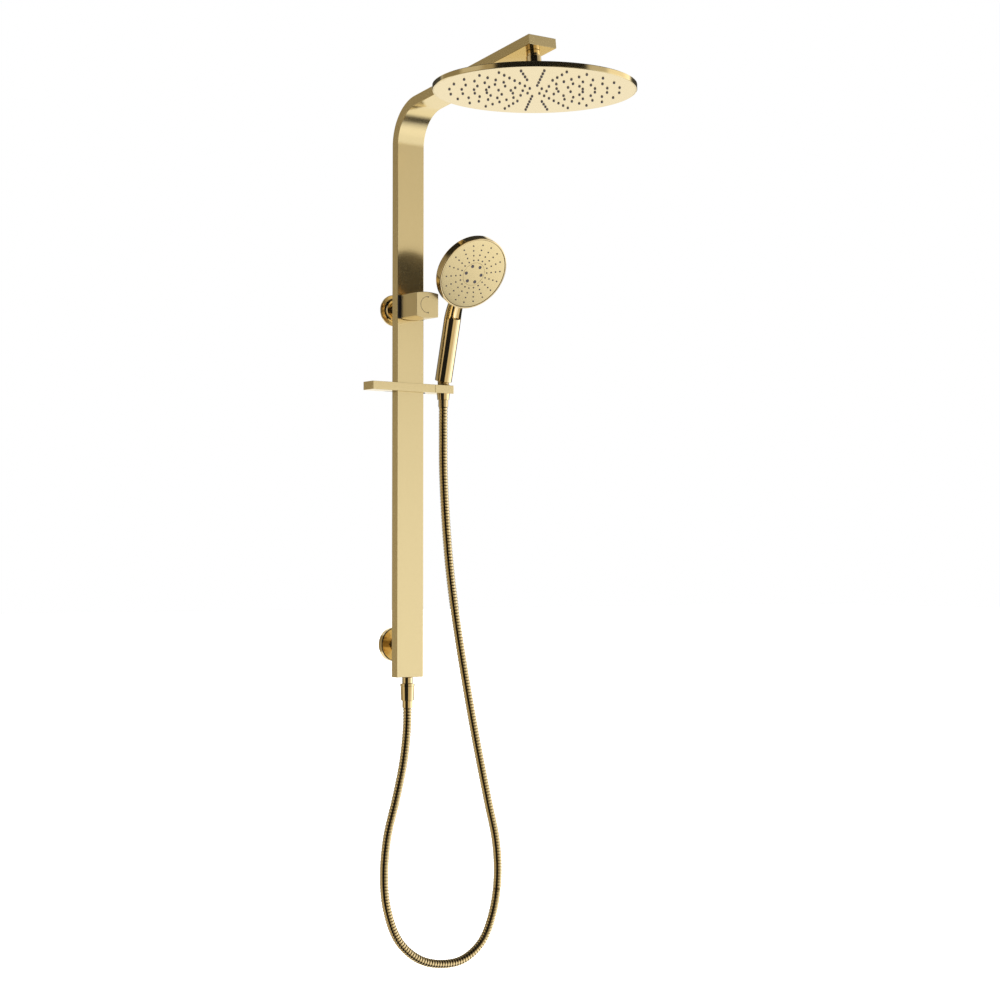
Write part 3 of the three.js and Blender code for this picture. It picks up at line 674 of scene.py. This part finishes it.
def holder_piece(look):
    """The swivelling end of the bar: a block with a round seat that opens to the side."""
    start, end = BAR["seam"] + 0.2, BAR["half"]
    front, rear = BAR["front"], BAR["rear"]
    seat_x, seat_y, seat, slot = HOSE_TOP[0], HOSE_TOP[1], 11.3, 8.2
    opening = math.asin(slot / seat)
    arc = []
    for i in range(41):
        angle = -opening - (2 * math.pi - 2 * opening) * i / 40
        arc.append((seat_x + seat * math.cos(angle), seat_y + seat * math.sin(angle)))
    plan = [(start, front), (end, front), (end, seat_y - slot)] + arc
    plan += [(end, seat_y + slot), (end, rear), (start, rear)]
    sizes = [0.4, 1.2, 0.5] + [0.0] * 41 + [0.5, 1.2, 0.4]
    return prism("holder", softened(plan, sizes), BAR["low"], BAR["high"], 0.35, upright, look)


# ---------- hose ends ----------
def hose_end_pieces(looks):
    bright = looks["polished"]
    place(lathe("nut_bottom", [
        (7.7, -593.6), (11.4, -593.6), (11.4, -597.4), (11.0, -598.0), (10.2, -620.5), (7.2, -620.5),
        (7.2, -607), (7.7, -607),
    ], OUTLET, (0, 0, 1), bright), "column", "hose_nut_bottom")
    place(lathe("ferrule_bottom", [
        (7.25, -632.2), (7.9, -632.2), (8.1, -631.4), (8.1, -620.8), (7.25, -620.8),
    ], OUTLET, (0, 0, 1), bright, 0.2), "column", "hose_ferrule_bottom")
    place(lathe("ferrule_top", [
        (7.25, -154.4), (7.6, -154.4), (7.8, -153.6), (7.8, -143.5), (7.25, -143.5),
    ], HOSE_TOP, (0, 0, 1), bright, 0.2), "hose_end", "hose_ferrule_top")
    place(lathe("cone_nut", [
        (7.2, -143.2), (9.3, -143.2), (10.2, -133.3), (10.9, -120.3), (10.1, -118.6), (8, -118.6),
        (8, -124), (7.2, -124),
    ], HOSE_TOP, (0, 0, 1), bright), "handset", "hose_cone_nut")


# ---------- handset ----------
def dome_depth(radius, wall=0.0):
    rise = BACK_DEPTH - RIM_DEPTH - 0.7
    ball = (HANDSET_RADIUS ** 2 + rise ** 2) / (2 * rise)
    return -BACK_DEPTH + wall + ball - math.sqrt(ball ** 2 - radius ** 2)


def groove_depth(side, along):
    """How far forward the handle reaches at a distance to the side, where the groove in its top runs."""
    half, floor, hollow = 8.0, 7.5, 11.1
    spread = max(0.0, abs(side) - 5.0) / 3.0
    start = GROOVE_START + 3.0 * (1 - math.sqrt(max(0.0, 1 - spread ** 2)))
    if abs(side) > half or along < start:
        return HANDLE_RADIUS
    opening = min(1.0, (along - start) / 1.6)
    channel = floor + hollow - math.sqrt(hollow ** 2 - side ** 2)
    return HANDLE_RADIUS + (channel - HANDLE_RADIUS) * opening


def handle_stations():
    """Middle, forward direction, radius and distance of the handle's sections, from foot to head."""
    forward = Vector((0, -math.cos(HANDLE_LEAN), -math.sin(HANDLE_LEAN)))
    low = [(0, 12.7), (0.25, 13.1), (0.6, 13.35), (1.2, 13.5), (60, 13.5), (100, 13.5)]
    stations = [(HANDLE_FOOT + HANDLE_UP * along, forward, radius, along) for along, radius in low]
    knee = HANDLE_FOOT + HANDLE_UP * 116
    start, end = HANDLE_FOOT + HANDLE_UP * 101, knee + FACE_UP * 15
    for i in range(41):
        t = i / 40
        middle = (1 - t) ** 2 * start + 2 * t * (1 - t) * knee + t ** 2 * end
        stations.append((middle, forward.lerp(FACE_OUT, t).normalized(), 13.5 - 1.7 * t, 101 + 30 * t))
    for i in range(1, 13):
        stations.append((end + FACE_UP * 2.5 * i, FACE_OUT, 11.8 - 0.08 * i, 131 + 2.5 * i))
    crown = end + FACE_UP * 30
    for i in range(1, 8):
        turn = math.pi / 2 * i / 8
        stations.append((crown + FACE_UP * 10 * math.sin(turn), FACE_OUT, 10.84 * math.cos(turn), 170))
    return stations


def handle_data(sides=120):
    """Points and faces of the handle and neck, with the hollow groove in front of the neck."""
    points, rings = [], []
    for middle, forward, radius, along in handle_stations():
        rings.append(list(range(len(points), len(points) + sides)))
        for k in range(sides):
            turn = 2 * math.pi * k / sides
            side, front = radius * math.sin(turn), radius * math.cos(turn)
            if front > 0 and along < 160:
                front = min(front, groove_depth(side, along))
            points.append(middle + Vector((side, 0, 0)) + forward * front)
    faces = [tuple(reversed(rings[0])), tuple(rings[-1])]
    for one, two in zip(rings, rings[1:]):
        faces += ring_faces(one, two)
    return points, faces


def handset_body(look):
    """Handle, neck and domed head: one polished casting."""
    points, faces = handle_data()
    outer = [(r, dome_depth(r)) for r in (0, 8, 16, 24, 32, 40, 47, 53, 57)]
    lip = PLATE_RADIUS + GAP
    rim = [
        (60.1, -RIM_DEPTH - 0.4), (HANDSET_RADIUS, -RIM_DEPTH + 0.6), (HANDSET_RADIUS, -1.3), (60.2, -0.5),
        (59.4, 0), (lip + 0.3, 0), (lip, -0.4), (lip, -5), (52, -5),
    ]
    inner = [(r, dome_depth(r, 2.2)) for r in (50, 38, 24, 12, 0)]
    shell = lathe_data(outer + softened(rim, 0.4, False) + inner, FACE_CENTRE, FACE_OUT, 160)
    points, faces = joined((points, faces), shell)
    return place(finish_mesh("handset", points, faces, look, 40.0), "handset", "handset_body")


def face_crown(radius):
    """Height of the spray face, which is very slightly domed."""
    return 0.9 - 1.5 * (radius / PLATE_RADIUS) ** 2


def on_face(radius, angle, height=0.0):
    """A place on the handset's spray face, from its own polar coordinates."""
    across = Vector((math.cos(angle), 0, 0)) + FACE_UP * math.sin(angle)
    return FACE_CENTRE + across * radius + FACE_OUT * height


def nozzles(name, places, direction, profile, look, sides=14):
    """Many small turned tips in one mesh."""
    parts = [lathe_data(softened(profile, 0.25, False, 2), at, direction, sides) for at in places]
    points, faces = joined(*parts)
    return finish_mesh(name, points, faces, look, 50.0)


def handset_face(looks):
    plate = [(19.45, -2.2), (PLATE_RADIUS, -2.2), (PLATE_RADIUS, -0.7)]
    plate += [(r, face_crown(r)) for r in (56, 50, 44, 38, 32, 26, 19.45)]
    cap = [(0, -2.2), (19.25, -2.2), (19.25, face_crown(19.25))] + [(r, face_crown(r)) for r in (13, 7, 0)]
    ring = lathe("handset_plate", plate, FACE_CENTRE, FACE_OUT, looks["face"], 0.25, 160)
    place(ring, "spray_face", "handset_face_plate")
    middle = lathe("handset_cap", cap, FACE_CENTRE, FACE_OUT, looks["face"], 0.15, 96)
    place(middle, "spray_face", "handset_centre_cap")
    small = []
    for spoke in range(18):
        angle = math.radians(10 + 20 * spoke)
        small += [on_face(radius, angle, face_crown(radius)) for radius in (24.2, 32.5, 40.9, 49.2)]
    tip = [(0, -0.5), (1.3, -0.5), (1.3, 0.2), (0.95, 0.95), (0.45, 0.95), (0.4, 0.4), (0, 0.4)]
    place(nozzles("handset_nozzles", small, FACE_OUT, tip, looks["nozzle"]), "spray_face")
    large = [on_face(14.4, math.radians(-2 + 60 * i), face_crown(14.4)) for i in range(6)]
    wide = [(0, -1.0), (2.8, -1.0), (2.8, 0.2), (2.3, 0.8), (1.4, 0.8), (1.2, 0.1), (0, 0.1)]
    place(nozzles("handset_jets", large, FACE_OUT, wide, looks["nozzle"], 28), "spray_face")


# ---------- overhead head ----------
def arc_points(radius, low, high, count):
    """Profile points on the ball joint's spheres, between two heights from its centre."""
    points = []
    for i in range(count):
        height = low + (high - low) * i / (count - 1)
        points.append((math.sqrt(radius ** 2 - height ** 2), BALL_CENTRE + height))
    return points


def head_pieces(looks):
    bright = looks["polished"]
    top = HEAD_FACE + 8
    shell = [
        (12, top - 1.4), (12, 307), (15.8, 307), (15.8, 297.4), (17, 296.4), (26, 296), (34, top + 0.6),
        (40, top), (149.2, top), (HEAD_RADIUS, top - 0.8), (HEAD_RADIUS, HEAD_FACE + 0.7),
        (149.4, HEAD_FACE), (148, HEAD_FACE), (148, top - 1.4),
    ]
    place(lathe("head_shell", shell, HEAD_AT, (0, 0, 1), looks["shell"], 0.3, 240), "head", "head_top_shell")
    face = [(0, HEAD_FACE), (147.95, HEAD_FACE), (147.95, HEAD_FACE + 1.2), (0, HEAD_FACE + 1.2)]
    place(lathe("head_plate", face, HEAD_AT, (0, 0, 1), looks["disc"], 0.05, 240), "head", "head_face_plate")
    nut = [(16.1, 297), (19, 297), (19, 313), (16, 317.6)] + arc_points(11.7, 5.6, -3, 7) + [(16.1, 309)]
    place(lathe("joint_nut", nut, HEAD_AT, (0, 0, 1), bright, 0.3), "head", "ball_retaining_nut")
    stem = [(r, z - BALL_CENTRE) for r, z in arc_points(9.5, -9, 7.2, 14)] + [
        (5.6, 8.5), (5.6, 12), (11.3, 14.2), (11.3, 24.0), (9.6, 24.4), (9.6, 25.4), (10.3, 25.7),
        (10.3, STEM_LENGTH), (6.8, STEM_LENGTH), (6.8, STEM_LENGTH + 10), (3, STEM_LENGTH + 10), (3, -9),
    ]
    ball = (0, HEAD_AT[1], BALL_CENTRE)
    square_to_arm = (0, math.sin(ARM_RISE), math.cos(ARM_RISE))
    place(lathe("joint_stem", stem, ball, square_to_arm, bright, 0.25), "column", "ball_stem")
    down = Vector((0, 0, -1))
    spots = []
    for spoke in range(24):
        angle = math.radians(-1 + 15 * spoke)
        radii = (71, 89, 107, 125)
        if spoke % 2 == 0:
            radii += (35, 53)
        if spoke % 4 == 2:
            radii += (17.5,)
        spots += [Vector((r * math.cos(angle), HEAD_AT[1] + r * math.sin(angle), HEAD_FACE)) for r in radii]
    tip = [(0, -1.0), (2.0, -1.0), (2.0, 0.3), (1.4, 1.9), (0.7, 1.9), (0.6, 1.1), (0, 1.1)]
    place(nozzles("head_nozzles", spots, down, tip, looks["nozzle"]), "head")


# ---------- frame pieces that stay ----------
def dress_frame(looks):
    """Gives every CAD node that stays its material, from the record's slots."""
    # the dark_plate slot takes the near-black painted shade of the gap behind the knob
    by_slot = {
        "brushed_brass": "bar", "polished_brass": "polished", "raw_brass": "raw", "hose_metal": "hose",
        "dark_plate": "dark", "steel": "steel", "rubber": "rubber", "plastic": "plastic",
        "nozzle_rubber": "nozzle",
    }
    for part in frame["record"]["subparts"]:
        node = frame["nodes"][part["node"]]
        look = looks[by_slot[part["material_slot"]]]
        if node.material_slots:
            node.material_slots[0].material = look
        else:
            node.data.materials.append(look)


# ---------- stage ----------
def ramp(tree, value, stops):
    node = tree.nodes.new("ShaderNodeValToRGB")
    elements = node.color_ramp.elements
    elements[0].position, elements[1].position = stops[0][0], stops[-1][0]
    for position, _ in stops[1:-1]:
        elements.new(position)
    for element, (_, colour) in zip(sorted(elements, key=lambda item: item.position), stops):
        element.color = (*colour, 1) if isinstance(colour, tuple) else (colour, colour, colour, 1)
    tree.links.new(value, node.inputs["Fac"])
    return node.outputs["Color"]


def math_node(tree, operation, *values):
    node = tree.nodes.new("ShaderNodeMath")
    node.operation = operation
    for socket, value in zip(node.inputs, values):
        if isinstance(value, (int, float)):
            socket.default_value = value
        else:
            tree.links.new(value, socket)
    return node.outputs["Value"]


def weighed_sum(tree, one, one_weight, two, two_weight):
    weighed = (math_node(tree, "MULTIPLY", one, one_weight), math_node(tree, "MULTIPLY", two, two_weight))
    return math_node(tree, "ADD", *weighed)


def around(degrees):
    """Where an angle around the object, counted from the camera's side, sits on a light ring's ramp."""
    return degrees / 360 + 0.5


def level(degrees):
    """Where a height above or below the horizon sits on a height ramp."""
    return 0.5 + 0.5 * math.sin(math.radians(degrees))


def blend(tree, mode, factor, one, two):
    node = tree.nodes.new("ShaderNodeMix")
    node.data_type = "RGBA"
    node.blend_type = mode
    if isinstance(factor, (int, float)):
        node.inputs["Factor"].default_value = factor
    else:
        tree.links.new(factor, node.inputs["Factor"])
    tree.links.new(one, node.inputs["A"])
    tree.links.new(two, node.inputs["B"])
    return node.outputs["Result"]


def light_rings(tree, turn):
    """What the metal mirrors around it, below the horizon and above it: soft light with dark gaps."""
    gold, warm, brown, black = (0.68, 0.59, 0.41), (0.68, 0.57, 0.39), (0.36, 0.315, 0.225), 0.015
    dusk, pale = (0.36, 0.31, 0.22), (1.0, 0.93, 0.80)
    low = ramp(tree, turn, [
        (0.0, 1.0), (around(-126), 1.0), (around(-120), brown), (around(-86), brown), (around(-78), warm),
        (around(-49), warm), (around(-45), black), (around(14), black), (around(19), gold),
        (around(58), gold), (around(65), 1.0), (1.0, 1.0),
    ])
    high = ramp(tree, turn, [
        (0.0, 1.0), (around(-130), 1.0), (around(-124), dusk), (around(-94), dusk), (around(-87), pale),
        (around(-66), pale), (around(-58), warm), (around(-48), warm), (around(-44), black),
        (around(57), black), (around(63), pale), (around(125), pale), (around(135), 1.0), (1.0, 1.0),
    ])
    return low, high


def light_heights(tree, height):
    """How the light fades with height, in front of the object and behind it."""
    front = ramp(tree, height, [
        (0.0, 0.03), (level(-56), 0.0), (level(-51.5), 0.03), (level(-49), 0.42), (level(-45), 0.68),
        (level(-39.7), 0.88), (level(-34), 1.0), (level(-24), 1.0), (level(-15), 0.92), (level(0.3), 0.90),
        (level(3.7), 0.81), (level(8.8), 0.67), (level(11.4), 0.57), (level(25), 0.42), (level(40), 0.1),
        (1.0, 0.05),
    ])
    bright = (0.93, 0.91, 0.84)
    back = ramp(tree, height, [
        (0.0, 0.9), (level(-60), bright), (level(30), bright), (level(38), 0.04), (1.0, 0.03),
    ])
    return front, back


def light_colour(tree, turn, height):
    """The rings and heights together, with dark edges behind the object near the horizon."""
    low, high = light_rings(tree, turn)
    front, back = light_heights(tree, height)
    raised = ramp(tree, height, [(0.0, 0.0), (level(3), 0.0), (level(9), 1.0), (1.0, 1.0)])
    behind = ramp(tree, turn, [
        (0.0, 1.0), (around(-135), 1.0), (around(-125), 0.5), (around(-95), 0.5), (around(-85), 0.0),
        (around(115), 0.0), (around(140), 1.0), (1.0, 1.0),
    ])
    edge = ramp(tree, turn, [
        (0.0, 1.0), (around(-174), 1.0), (around(-170), 0.05), (around(-132), 0.05), (around(-126), 1.0),
        (around(133), 1.0), (around(138), 0.05), (around(169), 0.05), (around(174), 1.0), (1.0, 1.0),
    ])
    near_level = ramp(tree, height, [
        (0.0, 0.0), (level(-20), 0.0), (level(-14), 1.0), (level(14), 1.0), (level(20), 0.0), (1.0, 0.0),
    ])
    rings = blend(tree, "MIX", raised, low, high)
    heights = blend(tree, "MIX", behind, front, back)
    return blend(tree, "MULTIPLY", near_level, blend(tree, "MULTIPLY", 1.0, rings, heights), edge)


def panel_strength(tree, turn, height):
    """Brightness of the whole studio, with a brighter panel to the right of the object."""
    studio, extra = 1.12, 0.9
    side_panel = ramp(tree, turn, [
        (0.0, 0.0), (around(85), 0.0), (around(91), 1.0), (around(130), 1.0), (around(134), 0.0), (1.0, 0.0),
    ])
    panel_height = ramp(tree, height, [
        (0.0, 0.0), (level(-23), 0.0), (level(-18), 1.0), (level(18), 1.0), (level(23), 0.0), (1.0, 0.0),
    ])
    panel = math_node(tree, "MULTIPLY", side_panel, panel_height)
    return math_node(tree, "ADD", math_node(tree, "MULTIPLY", panel, extra), studio)


def make_world():
    """A white room, except in the metal, which mirrors a studio of soft panels with dark gaps."""
    world = bpy.data.worlds.new("studio")
    bpy.context.scene.world = world
    world.use_nodes = True
    tree = world.node_tree
    tree.nodes.clear()
    ray_direction = tree.nodes.new("ShaderNodeTexCoord")
    split = tree.nodes.new("ShaderNodeSeparateXYZ")
    tree.links.new(ray_direction.outputs["Generated"], split.inputs["Vector"])
    x, y, z = (split.outputs[name] for name in "XYZ")
    sine, cosine = math.sin(CAMERA_HEADING), math.cos(CAMERA_HEADING)
    near = weighed_sum(tree, x, -sine, y, -cosine)
    right = weighed_sum(tree, x, cosine, y, -sine)
    angle = math_node(tree, "ARCTAN2", right, near)
    turn = math_node(tree, "ADD", math_node(tree, "DIVIDE", angle, 2 * math.pi), 0.5)
    height = math_node(tree, "ADD", math_node(tree, "MULTIPLY", z, 0.5), 0.5)
    mirrored = tree.nodes.new("ShaderNodeBackground")
    tree.links.new(panel_strength(tree, turn, height), mirrored.inputs["Strength"])
    tree.links.new(light_colour(tree, turn, height), mirrored.inputs["Color"])
    seen = tree.nodes.new("ShaderNodeBackground")
    seen.inputs["Color"].default_value = (1, 1, 1, 1)
    ray = tree.nodes.new("ShaderNodeLightPath")
    choose = tree.nodes.new("ShaderNodeMixShader")
    tree.links.new(ray.outputs["Is Glossy Ray"], choose.inputs["Fac"])
    tree.links.new(seen.outputs["Background"], choose.inputs[1])
    tree.links.new(mirrored.outputs["Background"], choose.inputs[2])
    out = tree.nodes.new("ShaderNodeOutputWorld")
    tree.links.new(choose.outputs["Shader"], out.inputs["Surface"])


def make_floor():
    """A pale floor well under the hose, which the metal doesn't mirror."""
    size, height = 30000.0, -1120.0
    corners = [(-size, -size, height), (size, -size, height), (size, size, height), (-size, size, height)]
    material, _, shader = new_material("floor_white", (0.9, 0.9, 0.9), 0.0, 0.9)
    shader.inputs["Emission Color"].default_value = (1, 1, 1, 1)
    shader.inputs["Emission Strength"].default_value = 1.0
    floor = finish_mesh("floor", corners, [(0, 1, 2, 3)], material)
    floor.visible_glossy = False


def make_light(name, at, target, size, power):
    data = bpy.data.lights.new(name, "AREA")
    data.shape = "DISK"
    data.size = size
    data.energy = power
    lamp = bpy.data.objects.new(name, data)
    lamp.location = at
    lamp.rotation_euler = (Vector(target) - Vector(at)).to_track_quat("-Z", "Y").to_euler()
    lamp.visible_glossy = False
    bpy.context.scene.collection.objects.link(lamp)


def main():
    scene = bpy.context.scene
    scene.view_settings.view_transform = "Standard"
    scene.view_settings.look = "None"
    make_camera()
    looks = make_materials()
    hoses = make_hose(looks["hose"])
    ends = hang_hose(hoses)
    dress_frame(looks)
    column_piece(looks["column"])
    wall_pieces(looks)
    diverter_pieces(looks)
    slider_pieces(looks)
    hose_end_pieces(looks)
    handset_body(looks["polished"])
    handset_face(looks)
    head_pieces(looks)
    make_world()
    make_floor()
    make_light("key", (-1.6, -2.2, 1.6), (0, -0.2, -0.3), 1.6, 40)
    make_light("fill", (1.8, -1.6, 0.8), (0, -0.2, -0.3), 1.6, 25)


main()
